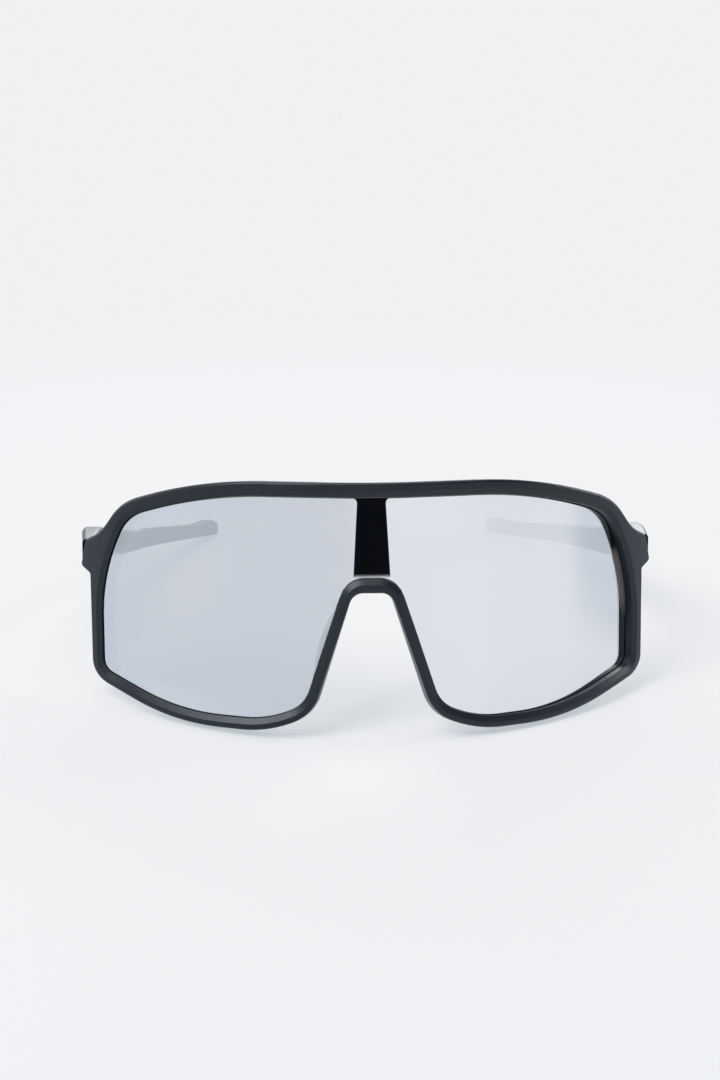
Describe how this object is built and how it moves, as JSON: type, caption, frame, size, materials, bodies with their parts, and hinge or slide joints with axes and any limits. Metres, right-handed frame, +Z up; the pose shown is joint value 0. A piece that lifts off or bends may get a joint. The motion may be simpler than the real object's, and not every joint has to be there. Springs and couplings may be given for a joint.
{
  "type": "shield sunglasses",
  "caption": "Wrap-around shield sunglasses: a one-piece mirror lens in a full black rim with a nose arch, and folding temples with soft ear grips.",
  "frame": {"origin": "middle of the table area under the glasses, with the temples open and the lower rim and both ear grips standing on the table", "axes": "+X to the wearer's left, square to the mirror plane of the glasses; +Y to the back, along the open temples; +Z up from the table"},
  "size_m": [0.148, 0.1626, 0.0607],
  "materials": {
    "frame_black": "fine matte black moulded nylon",
    "lens_mirror": "polycarbonate with a silver mirror coat, slightly see-through",
    "strip_gloss": "polished black, left bare",
    "pad_silicone": "milky soft silicone",
    "grip_rubber": "soft matte black",
    "hinge_steel": "brushed",
    "screw_steel": "turned"
  },
  "bodies": {
    "front": {"front_frame": "frame_black", "shield_lens": "lens_mirror", "bridge_strip": "strip_gloss", "nose_pad_left": "pad_silicone", "nose_pad_right": "pad_silicone", "front_hinge_leaf_left": "hinge_steel", "front_hinge_leaf_right": "hinge_steel", "front_leaf_screws_left": "screw_steel", "front_leaf_screws_right": "screw_steel", "hinge_screw_left": "screw_steel", "hinge_screw_right": "screw_steel"},
    "temple_left_arm": {"temple_left": "frame_black", "temple_hinge_leaf_left": "hinge_steel", "temple_leaf_screws_left": "screw_steel", "ear_grip_left": "grip_rubber"},
    "temple_right_arm": {"temple_right": "frame_black", "temple_hinge_leaf_right": "hinge_steel", "temple_leaf_screws_right": "screw_steel", "ear_grip_right": "grip_rubber"}
  },
  "joints": [
    {"name": "temple_left_fold", "type": "hinge", "parent": "front", "child": "temple_left_arm", "pos_m": [0.06721, -0.03228, 0.03238], "axis": [0, 0.2794, 0.9602], "range_deg": [0, 84]},
    {"name": "temple_right_fold", "type": "hinge", "parent": "front", "child": "temple_right_arm", "pos_m": [-0.06721, -0.03228, 0.03238], "axis": [0, -0.2794, -0.9602], "range_deg": [0, 72]}
  ]
}
